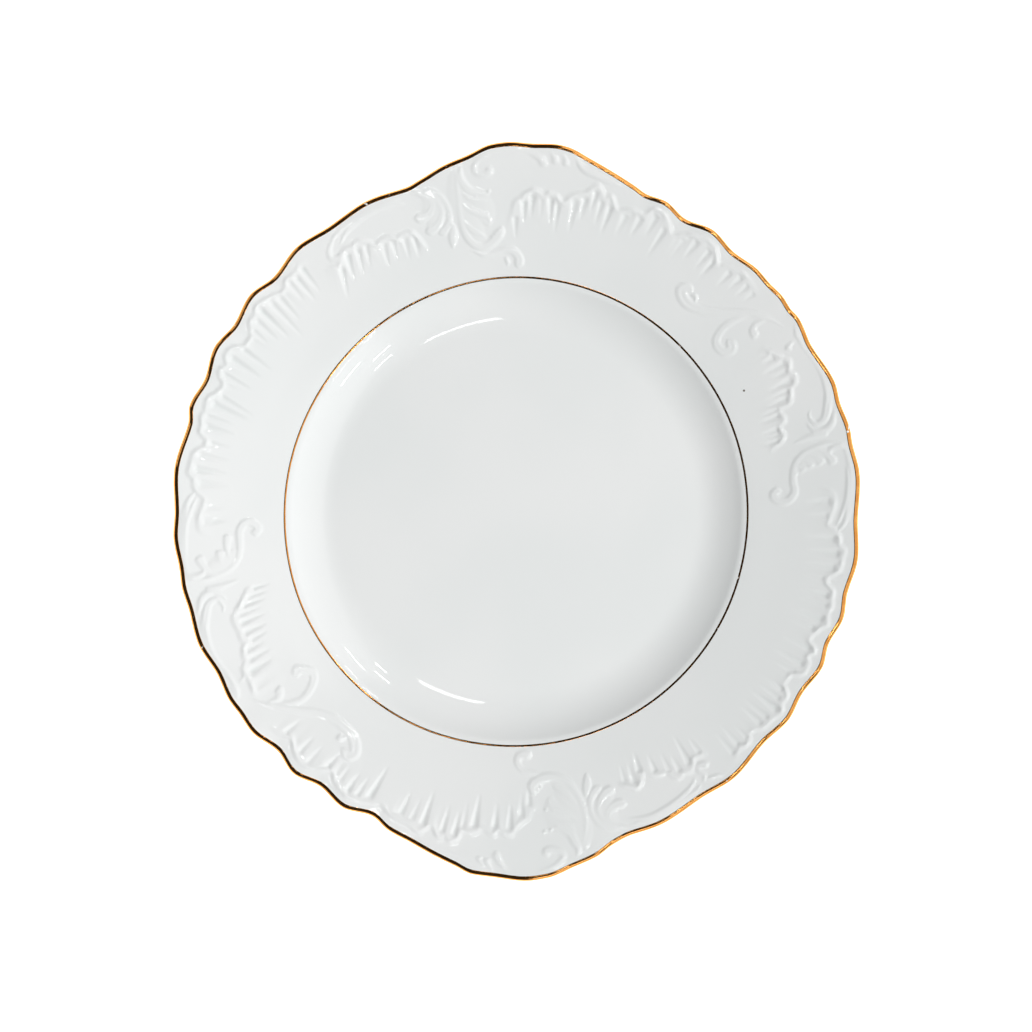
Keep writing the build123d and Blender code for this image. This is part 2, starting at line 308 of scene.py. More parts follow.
# Strokes: (form, width, height, depth of the groove, points as (angle, radius))
STROKES = [
    # low grounds under the acanthus leaves
    ("leaf", 8.5, 0.42, 0, [(281.5, 131), (281.4, 122), (280.8, 114), (279.6, 107), (277.5, 103)]),
    ("leaf", 7.0, 0.40, 0, [(279.5, 124), (278.4, 119.5), (277.2, 114), (276.6, 109)]),
    ("leaf", 7.5, 0.42, 0, [(287.4, 127), (286.2, 121), (286.8, 115.5), (288.6, 112.5)]),
    ("leaf", 8.5, 0.42, 0, [(100.6, 132), (100, 122), (99.6, 114), (98.4, 107), (96.3, 103)]),
    ("leaf", 7.0, 0.40, 0, [(98.4, 124), (97.3, 119.5), (96.2, 114), (95.4, 109)]),
    ("leaf", 7.5, 0.42, 0, [(106.2, 127), (104.9, 121), (105.4, 115.5), (107.2, 112.5)]),
    # S-scroll with its branch and leaf, right of the upper ear
    ("tail", 3.4, 0.8, 0.25, [
        (34.5, 123.5), (37, 121), (40, 117), (42, 113), (44.5, 108), (47, 104.5), (50, 102.5),
        (52, 103), (53.2, 105), (52.5, 107), (51.3, 107),
    ]),
    ("leaf", 1.4, 0.7, 0, [(51.2, 105.5), (50.3, 106.5), (49.5, 104.5)]),
    ("tail", 3.0, 0.7, 0.2, [
        (39.5, 117), (40.8, 113), (41.5, 108), (41.5, 104), (40.8, 100.5), (39.5, 99),
        (37.8, 99.5), (37, 101.5), (37.6, 103.3), (39.2, 103.3),
    ]),
    ("drop", 2.8, 0.7, 0.1, [(36, 113), (37, 112.7), (37.8, 114), (38, 116), (37.5, 119.5)]),
    # its counterpart left of the lower ear
    ("tail", 3.4, 0.8, 0.25, [
        (215, 123.5), (217, 121), (219.5, 117), (222, 113), (226, 107), (230, 105), (234, 106),
        (236, 110), (235.3, 112.5), (233.6, 111.5),
    ]),
    ("leaf", 1.6, 0.7, 0, [(233, 107.5), (232, 109.5), (231.8, 107.5)]),
    ("tail", 3.0, 0.7, 0.2, [
        (219, 116), (221, 110), (221, 105), (220, 101), (218.5, 99), (217, 100.5), (216, 103),
        (217, 104.5),
    ]),
    ("drop", 2.8, 0.7, 0.1, [(216.5, 113.5), (217.3, 113), (218, 114.5), (218, 116), (217.5, 119)]),
    # acanthus on the axis across the ears: stem, curl and five lobes
    ("tail", 2.6, 0.8, 0.15, [
        (11.8, 128), (12.3, 122), (12.2, 118), (11.5, 112), (10, 108), (8, 106.3), (6, 105.8),
        (4, 106), (2.3, 103.5), (2.2, 100.5), (3.2, 98.3), (4.5, 99), (4.3, 101),
    ]),
    ("drop", 3.0, 0.7, 0.1, [(8.5, 122), (10, 120.5), (11.5, 117), (11.7, 114)]),
    ("drop", 3.0, 0.7, 0.1, [(8.8, 117.5), (10, 116), (11, 113), (11, 110.5)]),
    ("drop", 2.8, 0.7, 0.1, [(8.5, 113.5), (9.6, 112.5), (10.3, 110), (10, 108.5)]),
    ("drop", 2.6, 0.7, 0.1, [(8, 110.5), (8.8, 109.7), (9.2, 108), (8.7, 107)]),
    ("drop", 2.2, 0.6, 0, [(7.5, 107.5), (7.8, 106.8), (7.5, 105.5)]),
    ("tail", 2.6, 0.8, 0.15, [
        (191.8, 128), (192.3, 122), (192.2, 118), (191.5, 112), (190, 108), (188, 106.3),
        (186, 105.8), (184, 105.5), (182.5, 103.5), (182.4, 100.8), (183.4, 98.8), (184.6, 99.4),
        (184.4, 101.2),
    ]),
    ("drop", 3.0, 0.7, 0.1, [(188, 122), (190, 120.5), (191.5, 118), (191.6, 115)]),
    ("drop", 3.0, 0.7, 0.1, [(187.5, 113.5), (189.2, 114), (190.6, 113), (191, 110.5)]),
    ("drop", 2.6, 0.7, 0.1, [(184.5, 110), (187, 111), (189.4, 110.4), (190.5, 109)]),
    # small curl and rim arc, before each ear
    ("tail", 2.2, 0.7, 0.1, [
        (304.5, 125), (305.5, 123), (305.2, 120.5), (305.5, 119), (306.5, 119.5), (306.8, 121),
    ]),
    ("leaf", 2.6, 0.8, 0.15, [
        (304, 124.8), (303, 126), (300, 127.3), (296, 128.3), (293, 127.5), (290.5, 126.5),
    ]),
    ("leaf", 2.0, 0.6, 0, [
        (304, 121.5), (302, 124), (298, 126), (294, 126.5), (291, 125), (290, 124),
    ]),
    ("leaf", 1.2, 0.5, 0, [(308, 127), (306.5, 125)]),
    ("leaf", 1.2, 0.5, 0, [(307, 126), (305.5, 124.5)]),
    ("tail", 2.2, 0.7, 0.1, [
        (123.8, 124.5), (125.2, 123), (126, 121), (126.2, 119), (125.4, 117.7), (124.5, 117.9),
        (124.4, 119.2),
    ]),
    ("leaf", 2.6, 0.8, 0.15, [
        (124.5, 124.5), (122.5, 126), (119.5, 127.3), (116, 128.3), (113, 127.5), (110.5, 126.5),
    ]),
    ("leaf", 2.0, 0.6, 0, [
        (123.5, 121.5), (121.5, 124), (118, 126), (114, 126.5), (111, 125), (110, 124),
    ]),
    # acanthus of the lower ear: stem, inner crescents, outer crescents, drop leaf
    ("tail", 2.8, 0.85, 0.15, [
        (281, 130), (282, 125), (282.7, 119), (282.5, 113), (281.5, 107), (280, 103.5), (278, 102),
        (275.5, 102), (273.5, 104), (273, 107.5),
    ]),
    ("leaf", 2.6, 0.8, 0.15, [
        (280, 133), (280.4, 130), (280, 127), (279.5, 124), (278, 121.5), (276.5, 120.5),
    ]),
    ("leaf", 2.2, 0.7, 0, [(280.5, 124.5), (279.8, 121.5), (278.3, 119.5), (276.5, 119)]),
    ("leaf", 2.4, 0.75, 0.1, [
        (281.4, 121), (280.2, 117.6), (278.4, 115.2), (276.6, 112.5), (276.3, 110),
    ]),
    ("leaf", 2.4, 0.7, 0.1, [(281.7, 114.5), (280.4, 110), (279.2, 107.4), (277.6, 105.5)]),
    ("drop", 3.2, 0.8, 0.2, [
        (290.6, 118.6), (289.2, 117.6), (287.7, 118.2), (286.7, 120.5), (287, 123.5), (289, 127),
        (291.4, 129),
    ]),
    ("drop", 3.0, 0.8, 0.15, [
        (289.5, 111.5), (287.6, 112), (286.1, 114.5), (285.3, 118), (286, 122), (287.8, 126),
    ]),
    ("drop", 2.6, 0.7, 0.1, [
        (287, 109.5), (285.5, 110.5), (284.3, 113.5), (284, 118), (285, 123.5), (287, 127.5),
    ]),
    ("leaf", 2.6, 0.7, 0.1, [(283.5, 112), (284.4, 107.5), (285, 103)]),
    # acanthus of the upper ear
    ("tail", 2.8, 0.85, 0.15, [
        (100, 134), (100.3, 128), (100.5, 122), (100.8, 114), (100.5, 108), (99.5, 104),
        (97.5, 101.5), (95.5, 102.5), (93.5, 106), (92.8, 108.5),
    ]),
    ("leaf", 2.6, 0.8, 0.15, [
        (99.2, 133), (99.6, 129), (99.3, 126), (98.3, 123), (96.8, 121.5), (95, 121),
    ]),
    ("leaf", 2.2, 0.7, 0, [(99.8, 123.5), (98.8, 120.5), (97.2, 119), (95.3, 118.6)]),
    ("leaf", 2.4, 0.75, 0.1, [
        (100.3, 120), (99.2, 116.6), (97.5, 114.4), (95.7, 112.5), (95.2, 110),
    ]),
    ("leaf", 2.4, 0.7, 0.1, [(100.6, 113.5), (99.4, 109.5), (98.2, 107.2), (96.6, 105.5)]),
    ("drop", 3.2, 0.8, 0.2, [
        (109.2, 118), (107.8, 117.2), (106.3, 118), (105.4, 120.5), (105.8, 123.5), (107.8, 127),
        (110.2, 129),
    ]),
    ("drop", 3.0, 0.8, 0.15, [
        (108, 111.5), (106.2, 112), (104.7, 114.5), (104, 118), (104.7, 122), (106.4, 126),
    ]),
    ("drop", 2.6, 0.7, 0.1, [
        (105.6, 109.5), (104.2, 110.5), (103, 113.5), (102.7, 118), (103.6, 123.5), (105.6, 127.5),
    ]),
    ("leaf", 2.6, 0.7, 0.1, [(102.3, 112), (103, 107.5), (103.6, 103)]),
    # curl at each ear's tip, and the leaves and streak beside it
    ("tail", 2.2, 0.7, 0.1, [
        (272.5, 138), (275.5, 136), (277.5, 133), (277.5, 130.5), (276, 129), (275, 129.5),
        (275.3, 131.5),
    ]),
    ("tail", 2.2, 0.7, 0.1, [
        (94, 135.5), (96, 134.5), (97, 132), (96.8, 129.5), (95.5, 128.5), (94.6, 129.4),
        (94.9, 131),
    ]),
    ("drop", 2.4, 0.7, 0.1, [
        (267, 129.5), (266.7, 131), (267.5, 134), (268.5, 136.5), (270.5, 137),
    ]),
    ("drop", 2.2, 0.7, 0, [(265, 132), (265.3, 134), (266.3, 136.5)]),
    ("drop", 2.0, 0.6, 0, [(263.8, 131.5), (264, 133), (264.8, 135.3)]),
    ("leaf", 2.0, 0.6, 0, [(262.5, 135), (260, 133), (256, 131.5), (250, 129)]),
    ("drop", 2.4, 0.7, 0.1, [
        (85.3, 131.3), (85.6, 132.5), (86.4, 134.6), (88.5, 136.8), (90.5, 137.2),
    ]),
    ("drop", 2.4, 0.7, 0, [(83.6, 132.8), (83.8, 134.5), (84.6, 137)]),
    ("drop", 2.2, 0.6, 0, [(82, 132.5), (82, 134.5), (82.8, 137)]),
    ("leaf", 2.4, 0.7, 0, [(80.5, 136.4), (79, 132.5), (76, 131), (72, 129.8)]),
    # small curl beside the gold line
    ("tail", 2.6, 0.75, 0.15, [
        (100, 101), (97, 98.5), (94.5, 98.9), (92.5, 99.6), (90.7, 99), (89.6, 97), (89.4, 95),
        (90, 93),
    ]),
    ("leaf", 1.4, 0.5, 0, [(92.6, 97.2), (92, 95), (92.2, 93.6)]),
    ("tail", 2.6, 0.75, 0.15, [
        (275.5, 100.6), (273.4, 99.6), (271.5, 98.5), (270.3, 96), (270.5, 93.5), (272, 92.5),
        (273.3, 93.8),
    ]),
]

# Strokes in the same form that also stand half a turn round
TWICE = [
    # low ground under the acanthus on the axis
    ("leaf", 6.5, 0.40, 0, [(11.2, 121), (10.6, 115), (9.4, 110.5), (7.6, 108)]),
    # rim scroll with its knob and hook
    ("swell", 3.0, 0.8, 0.1, [(33.5, 127.3), (32.2, 126.8), (31, 126)]),
    ("drop", 2.2, 0.6, 0, [(30.7, 120), (31.3, 121), (31.5, 123.5)]),
    ("leaf", 2.8, 0.85, 0.2, [
        (33, 125.5), (30, 126), (27, 127.5), (24, 128), (21, 127), (19, 125), (17, 122.5),
        (16.3, 120), (16.5, 118), (18, 117), (19, 118),
    ]),
    ("leaf", 2.2, 0.7, 0, [(18, 127.5), (15.5, 124), (14.8, 120), (15.5, 117), (17, 115)]),
    ("drop", 2.8, 0.6, 0.1, [(14.5, 122), (14.3, 116), (13.8, 108.5)]),
    # rim scroll over the acanthus
    ("leaf", 2.6, 0.8, 0.15, [
        (8.5, 121), (10.4, 120.6), (11.3, 122), (11.5, 125), (11, 127.5), (9, 128.3), (6, 128.5),
        (3, 127.5), (0, 126), (-2, 124.5), (-4, 121.5),
    ]),
    ("leaf", 1.8, 0.6, 0, [(8, 126.5), (5, 126.5), (2, 125.5), (-1, 123), (-2.5, 121.5)]),
]

# Shell edges, as (angle, radius)
LIPS = [
    [(34, 112.5), (32.5, 113), (31.2, 115), (29.8, 116.5), (29, 118), (28, 117), (27, 116.5),
     (26, 117.5), (25, 116.5), (24.3, 114), (22.5, 112.5), (21.8, 111), (21.6, 107), (20.8, 106.5),
     (19.5, 107.5), (18.8, 107), (18, 105), (16.8, 104.8), (16.2, 105.5), (15.2, 104.5),
     (14.6, 102.5), (14, 100), (12.8, 99)],
    [(215.5, 121), (212, 119.5), (210, 119.5), (209, 117.5), (207.5, 116.5), (206.3, 115),
     (205.8, 113.5), (205, 114.8), (203, 114.5), (201, 114.8), (200, 113.5), (199, 111),
     (198, 109.5), (197, 107.5), (196, 105.5), (195.5, 105)],
    [(4.2, 115), (4, 118), (3, 120.3), (1, 120.3), (-0.2, 119.5), (-1.5, 118.5), (-2.5, 118),
     (-3, 119.5), (-3.5, 121), (-4.5, 122.5), (-6, 123), (-6.8, 125), (-8, 124.7), (-10, 124.3),
     (-11, 122.5), (-11.7, 120.7), (-13, 120.5), (-13.5, 121.5), (-14.2, 123.5), (-15.5, 123.8),
     (-16.8, 124.6), (-17.7, 124), (-19, 124.3), (-20, 125.2), (-20.7, 123.5), (-22, 122),
     (-23, 121), (-24, 121.3), (-24.6, 123.5), (-25.2, 124.6), (-26.5, 123), (-27.7, 124.8),
     (-29, 125), (-29.7, 124), (-30.5, 121), (-31.5, 120.5), (-33, 120.5), (-33.5, 122),
     (-34.5, 124), (-36, 124), (-37.3, 126), (-39, 124.5), (-41, 124.5), (-42.5, 122), (-44, 122),
     (-44.7, 124), (-46, 123.5), (-47.5, 123.5), (-48.2, 125), (-49.5, 123)],
    [(184.2, 115), (184, 118), (183, 120.3), (181, 120.3), (179.8, 119.5), (178.5, 118.5),
     (177.5, 118.5), (177, 119.5), (176.5, 121), (175.5, 122.5), (174, 123), (173.2, 125),
     (172, 124.7), (170, 124.3), (169, 122.5), (168.3, 120.7), (167, 120.5), (166.5, 121.5),
     (165.8, 123.5), (164.5, 123.8), (163.2, 124.6), (162.3, 124), (161, 124.3), (160, 124.6),
     (159.3, 123.5), (158.3, 122), (157.2, 121), (156.2, 121.3), (155.4, 123.5), (154.6, 124.6),
     (153.3, 123), (152, 124.8), (151, 125), (150, 124), (149, 121), (147.6, 120.3), (146.4, 120.5),
     (145.6, 122), (144.5, 124), (143.2, 124), (141.8, 125.5), (140, 124.5), (138.7, 123.5),
     (137.3, 121.8), (136, 121.8), (135, 123.8), (133.8, 123.5), (132.5, 123.5), (131.5, 124.6),
     (130, 123)],
    [(308.5, 117), (307.3, 116), (305.5, 115), (304.5, 117.5), (303.5, 118.3), (302.5, 117.5),
     (301.5, 118.3), (300.8, 117), (300, 114), (299, 113.7), (297.5, 112.5), (296.5, 110),
     (295.5, 110.5), (294.5, 113), (293.5, 114.2), (292.7, 113), (291.5, 111.5), (290.5, 110)],
    [(128.5, 117), (127.3, 116), (125.8, 115), (124.4, 117.5), (123.3, 118.5), (121.8, 118),
     (120.5, 118.8), (119.3, 117.5), (118, 114), (116, 115), (114.7, 114), (113.8, 112.4),
     (113, 113.2), (111.5, 113.5), (110.5, 112.5), (109.6, 108), (109, 104)],
    [(91.5, 108), (90.7, 113), (90.2, 117), (89, 119), (88.3, 120.5), (87, 121.8), (86, 121),
     (85, 120), (84, 121.3), (83, 120.5), (82, 118.5), (81, 118.5), (80, 121), (79, 122.5),
     (77.5, 123.5), (76.5, 126), (76, 127), (75, 125), (74.2, 123), (73.3, 124.5), (72.2, 121.5),
     (71.3, 120), (70, 121.5), (68.5, 122.5), (66.5, 122.5), (65.5, 126), (63.5, 125.5),
     (61.3, 121.2), (60.8, 120), (59, 122), (57.5, 124), (54, 125.8), (52, 122.7), (50.5, 120),
     (49, 122.5), (46, 124.5), (44, 123.8), (42, 123.3)],
    [(274.5, 112.5), (272.8, 113), (272, 116), (270.5, 118), (269.5, 120), (268.7, 122.5),
     (266.5, 121), (265.7, 122.5), (264, 120.5), (262.3, 122.5), (260, 123), (259.5, 126),
     (258.5, 127), (257.5, 125.5), (256.5, 126.5), (254.7, 123), (253.3, 126), (252.5, 126.5),
     (251, 125), (249, 124.5), (247, 124), (245.8, 122.4), (244.8, 122), (243.4, 123.4),
     (241, 124.8), (238.5, 125.5), (236.4, 123.4), (234.5, 120.5), (233, 122.6), (230, 125.5),
     (227.5, 124), (225.3, 121), (223.4, 122.6), (221, 124)],
]

# Flutes, the hollows in the shells: (outer angle and radius, inner angle and radius, width, depth)
FLUTES = [
    # first fan
    (31, 114.3, 31, 109, 3.4, 0.5), (29, 117, 29, 107, 3.4, 0.6), (27.4, 116, 27.4, 109, 2.4, 0.5),
    (25.5, 116.2, 25.5, 106, 3.6, 0.6), (24, 113.2, 24, 106, 2.2, 0.4),
    (22.5, 111.8, 22.5, 103, 3.2, 0.6), (21.3, 107.4, 21.3, 100, 2, 0.4),
    (20, 106.8, 20, 98, 3, 0.6), (17.5, 104.6, 17.5, 97.5, 2.6, 0.5),
    (16.3, 104.6, 16.3, 97.5, 1.8, 0.4), (15, 103.5, 15, 97, 2.2, 0.4),
    (211, 118.8, 211, 108, 3.4, 0.5), (209, 117, 209, 107, 3, 0.6),
    (207.2, 116, 207.2, 108, 2.8, 0.5), (205.8, 113, 205.5, 105, 2.6, 0.5),
    (204, 114, 204, 104, 3, 0.6), (202, 113.8, 202, 103, 2.8, 0.6),
    (200.4, 113.4, 200.4, 103, 2.4, 0.5), (199, 110.4, 199, 101, 2.4, 0.5),
    (197.6, 108, 197.6, 99, 2.4, 0.5), (196.2, 105, 196.2, 97.5, 2.2, 0.5),
    # long side fans
    (-5, 121.8, -5, 110, 3.6, 0.5), (-7.5, 124, -7.5, 111, 3.8, 0.7),
    (-10, 123.4, -10, 111, 3.4, 0.6), (-12.3, 119.8, -12.3, 111, 2.6, 0.4),
    (-15.2, 123, -15.2, 111, 3.2, 0.6), (-16.9, 123.8, -16.9, 112, 2.6, 0.5),
    (-19.5, 123.9, -19.5, 111, 3.8, 0.7), (-21.5, 121.8, -21.5, 112, 2.6, 0.5),
    (-25, 123.6, -25, 112, 3, 0.6), (-28, 124, -28, 111, 3.6, 0.7),
    (-30, 122.6, -30, 113, 2.4, 0.4), (-33.8, 121.8, -33.8, 115, 2.6, 0.4),
    (-35.4, 123, -35.4, 113, 2.8, 0.5), (-37.3, 125, -37.3, 112, 3.2, 0.7),
    (-39.4, 123.7, -39.4, 112, 2.6, 0.5), (-40.9, 123.5, -40.9, 112, 2.8, 0.6),
    (-44.5, 123, -44.5, 116, 2.4, 0.4), (-46.3, 122.8, -46.3, 112, 2.8, 0.6),
    (-48, 124, -48, 113, 2.8, 0.6), (1.8, 119.6, 1.8, 110, 4, 0.5),
    (-0.8, 118.6, -0.8, 110, 3.2, 0.4), (175, 121.8, 175, 110, 3.6, 0.5),
    (172.5, 124, 172.5, 111, 3.8, 0.7), (170, 123.4, 170, 111, 3.4, 0.6),
    (167.5, 119.8, 167.5, 111, 2.6, 0.4), (164.8, 123, 164.8, 111, 3.2, 0.6),
    (163, 123.8, 163, 112, 2.6, 0.5), (160.6, 123.4, 161.3, 108, 3.8, 0.7),
    (158.8, 121.5, 160.2, 106, 2.6, 0.5), (155, 123.6, 155.4, 111, 3, 0.6),
    (151.8, 124, 152.4, 110, 3.6, 0.7), (149.4, 121.8, 150.2, 107, 2.6, 0.5),
    (145.6, 121.8, 146, 114, 2.6, 0.4), (143.8, 123, 144.3, 112, 2.8, 0.5),
    (141.8, 124.8, 142.6, 109, 3.2, 0.7), (139.6, 123.6, 140.7, 105, 2.8, 0.5),
    (137.9, 122.2, 138.6, 110, 2.8, 0.6), (134.8, 123, 135.2, 114, 2.4, 0.4),
    (133.3, 122.8, 133.6, 111, 2.8, 0.6), (131.5, 124, 131.8, 112, 2.8, 0.6),
    (181.8, 119.6, 181.8, 110, 4, 0.5), (179.2, 118.6, 179.2, 110, 3.2, 0.4),
    # short fans beside the ears
    (307.2, 115.4, 307.2, 108, 2.6, 0.5), (304.4, 116.8, 305, 104, 3, 0.7),
    (302.1, 116.8, 302.3, 110, 2.6, 0.5), (300.4, 115, 300.8, 107, 2.4, 0.4),
    (298, 112.4, 298.3, 105, 2.6, 0.5), (295.2, 109.8, 296, 101.5, 2.8, 0.6),
    (293.4, 113, 293.8, 105, 2.6, 0.5), (291.8, 111.2, 292.2, 104, 2.2, 0.4),
    (125.6, 114.4, 128.3, 103.5, 2.6, 0.6), (123.3, 117.6, 125.2, 107, 3, 0.7),
    (121, 117.6, 123, 107, 2.8, 0.6), (119.4, 116.8, 121, 108, 2.4, 0.5),
    (116.3, 114.2, 117.6, 105, 2.8, 0.6), (114.6, 113.2, 115.5, 105, 2.2, 0.4),
    (112.3, 112.8, 113, 104, 2.6, 0.5), (110.6, 111.4, 111, 103, 2.2, 0.4),
    # the ears' fans
    (90.3, 112.5, 90.3, 104, 2.6, 0.5), (88.7, 118.6, 88.7, 110, 3, 0.7),
    (87.1, 120.8, 87.3, 112, 2.8, 0.6), (85.4, 119.4, 85.4, 112, 2.2, 0.3),
    (83.7, 120.2, 83.5, 110, 2.8, 0.7), (82.3, 118, 82.3, 107, 2.2, 0.5),
    (79.3, 121, 79.5, 108, 3.4, 0.6), (77.6, 122.4, 77.8, 113, 2.8, 0.5),
    (76, 125.6, 76.2, 117, 2.2, 0.6), (74.6, 122.6, 74.8, 113, 2.4, 0.6),
    (72.8, 121.8, 73.2, 110, 2.6, 0.6), (69.8, 120.4, 70.4, 111, 3.2, 0.4),
    (67, 121.6, 67.6, 113, 3, 0.6), (64.6, 124.6, 65, 115, 3, 0.6),
    (62.3, 121.8, 63, 108, 2.6, 0.6), (58.4, 121.8, 58.8, 112, 2.8, 0.4),
    (56.2, 123.8, 56.6, 115, 3, 0.6), (53.4, 123.6, 53.8, 114, 2.6, 0.6),
    (51.8, 121.4, 52.2, 113, 2.2, 0.5), (48.2, 122.2, 48.4, 114, 2.6, 0.5),
    (46.2, 123.6, 46.4, 116, 2.6, 0.5), (44.3, 123, 44.5, 116, 2.4, 0.5),
    (42.6, 122.6, 42.8, 117, 2.2, 0.4), (272.4, 112.4, 272.6, 104, 2.6, 0.5),
    (270.9, 116.6, 271, 107, 2.8, 0.5), (268.7, 121.6, 268.8, 111, 3.2, 0.7),
    (266, 120.8, 266.2, 111, 2.8, 0.5), (262.3, 121.6, 262.6, 108, 3.2, 0.7),
    (260.3, 122.4, 260.5, 112, 2.4, 0.4), (259, 125.6, 259.2, 116, 2.8, 0.6),
    (256.8, 125.4, 257.2, 114, 2.6, 0.6), (253.2, 125, 253.6, 110, 3, 0.7),
    (251.2, 124, 251.6, 114, 2.4, 0.4), (249, 123.6, 249.4, 113, 2.8, 0.5),
    (242.7, 123, 243.3, 108, 3, 0.7), (240.6, 124.2, 241, 115, 2.4, 0.5),
    (238.7, 124.8, 239, 116, 2.6, 0.5), (236.6, 122.8, 236.9, 115, 2.2, 0.4),
    (233.4, 121.4, 233.8, 113.5, 2.6, 0.6), (230.3, 124.6, 230.5, 115, 2.8, 0.5),
    (227.9, 123.4, 228.1, 115, 2.4, 0.5), (223.7, 122, 224, 113.5, 2.6, 0.6),
]

# Small bosses inside the curls: (angle, radius), and again half a turn round
BEADS = [
    (95.0, 122.0), (96.2, 121.4), (97.4, 120.6), (96.9, 114.4), (95.6, 113.8), (103.0, 113.6),
    (103.1, 115.6), (102.7, 112.0), (94.3, 106.0), (93.6, 107.2), (95.0, 104.9),
]


def build_relief(relief):
    """All the ornament, drawn into a height field."""
    for lip in LIPS:
        relief.shell(lip)
    for outer, outer_r, inner, inner_r, width, depth in FLUTES:
        ends = (outer, outer_r), (inner, inner_r)
        relief.flute(*ends, FLUTE_WIDTH * width, FLUTE_DEPTH * depth)
    opposite = [(*stroke, [(deg + 180, r) for deg, r in points]) for *stroke, points in TWICE]
    for form, width, height, groove, points in STROKES + TWICE + opposite:
        width *= TAIL_WIDTH if form == "tail" else STROKE_WIDTH
        relief.ridge(points, width, STROKE_HEIGHT * height, form, GROOVE_DEPTH * groove)
    for deg, r in BEADS:
        relief.bead(deg, r)
        relief.bead(deg + 180, r)


def softened(h):
    """A grid of heights with each averaged a little with its neighbours."""
    h = 0.25 * np.roll(h, 1, 0) + 0.5 * h + 0.25 * np.roll(h, -1, 0)
    p = np.pad(h, ((0, 0), (1, 1)), mode="edge")
    return 0.25 * p[:, :-2] + 0.5 * p[:, 1:-1] + 0.25 * p[:, 2:]


# ---- Materials ------------------------------------------------------------------------
GLAZE_WHITE = (0.868, 0.882, 0.876)
GLAZE_COOL = (0.838, 0.860, 0.854)
GLAZE_POOLED = (0.790, 0.828, 0.815)
GOLD_BRIGHT = (0.90, 0.42, 0.12)
GOLD_DEEP = (0.78, 0.33, 0.08)
CLAY_PALE = (0.80, 0.765, 0.70)
CLAY_GREY = (0.64, 0.60, 0.54)
SPECK = (0.10, 0.075, 0.05)
KILN_SPECK_AT = (0.0865, 0.0460, 0.0136)


class Look:
    """A node material around one Principled shader."""

    def __init__(self, name, ior=1.5):
        self.material = bpy.data.materials.new(name)
        self.material.use_nodes = True
        self.nodes = self.material.node_tree.nodes
        self.links = self.material.node_tree.links
        self.shader = self.nodes["Principled BSDF"]
        self.shader.inputs["IOR"].default_value = ior
        self.place = self.nodes.new("ShaderNodeTexCoord").outputs["Object"]

    def noise(self, scale, detail=2.0):
        node = self.nodes.new("ShaderNodeTexNoise")
        node.inputs["Scale"].default_value = scale
        node.inputs["Detail"].default_value = detail
        self.links.new(self.place, node.inputs["Vector"])
        return node.outputs["Fac"]

    def ramp(self, value, low, high, out_low=0.0, out_high=1.0):
        node = self.nodes.new("ShaderNodeMapRange")
        node.interpolation_type = "SMOOTHSTEP"
        node.inputs["From Min"].default_value = low
        node.inputs["From Max"].default_value = high
        node.inputs["To Min"].default_value = out_low
        node.inputs["To Max"].default_value = out_high
        self.links.new(value, node.inputs["Value"])
        return node.outputs["Result"]

    def mix(self, share, first, second):
        """A colour between first and second; either may be a colour or an output."""
        node = self.nodes.new("ShaderNodeMix")
        node.data_type = "RGBA"
        self.links.new(share, node.inputs["Factor"])
        for socket, color in ((node.inputs["A"], first), (node.inputs["B"], second)):
            if isinstance(color, tuple):
                socket.default_value = (*color, 1)
            else:
                self.links.new(color, socket)
        return node.outputs["Result"]

    def near(self, point, radius):
        """One within a small radius of a point, nought outside it."""
        node = self.nodes.new("ShaderNodeVectorMath")
        node.operation = "DISTANCE"
        node.inputs[1].default_value = point
        self.links.new(self.place, node.inputs[0])
        return self.ramp(node.outputs["Value"], radius * 0.4, radius, 1.0, 0.0)

    def specks(self, scale, rare, size):
        """Small round specks in a few of the cells of a loose pattern."""
        cells = self.nodes.new("ShaderNodeTexVoronoi")
        cells.inputs["Scale"].default_value = scale
        self.links.new(self.place, cells.inputs["Vector"])
        dot = self.ramp(cells.outputs["Distance"], size * 0.5, size, 1.0, 0.0)
        chosen = self.ramp(cells.outputs["Color"], rare, rare + 0.004)
        both = self.nodes.new("ShaderNodeMath")
        both.operation = "MULTIPLY"
        self.links.new(dot, both.inputs[0])
        self.links.new(chosen, both.inputs[1])
        return both.outputs["Value"]

    def bump(self, value, strength, depth):
        node = self.nodes.new("ShaderNodeBump")
        node.inputs["Strength"].default_value = strength
        node.inputs["Distance"].default_value = depth
        self.links.new(value, node.inputs["Height"])
        self.links.new(node.outputs["Normal"], self.shader.inputs["Normal"])

    def feed(self, name, value):
        self.links.new(value, self.shader.inputs[name])


def glazed_porcelain():
    look = Look("glazed_porcelain")
    ground = look.mix(look.ramp(look.noise(14.0), 0.35, 0.65), GLAZE_WHITE, GLAZE_COOL)
    hollow = look.nodes.new("ShaderNodeAttribute")
    hollow.attribute_name = "hollow"
    pooled = look.mix(look.ramp(hollow.outputs["Fac"], 0.0, 0.6), ground, GLAZE_POOLED)
    specked = look.mix(look.specks(95.0, 0.975, 0.03), pooled, SPECK)
    look.feed("Base Color", look.mix(look.near(KILN_SPECK_AT, 0.0006), specked, SPECK))
    look.feed("Roughness", look.ramp(look.noise(55.0, 4.0), 0.3, 0.7, 0.012, 0.03))
    look.bump(look.noise(420.0, 1.0), 0.04, 0.00003)
    return look.material


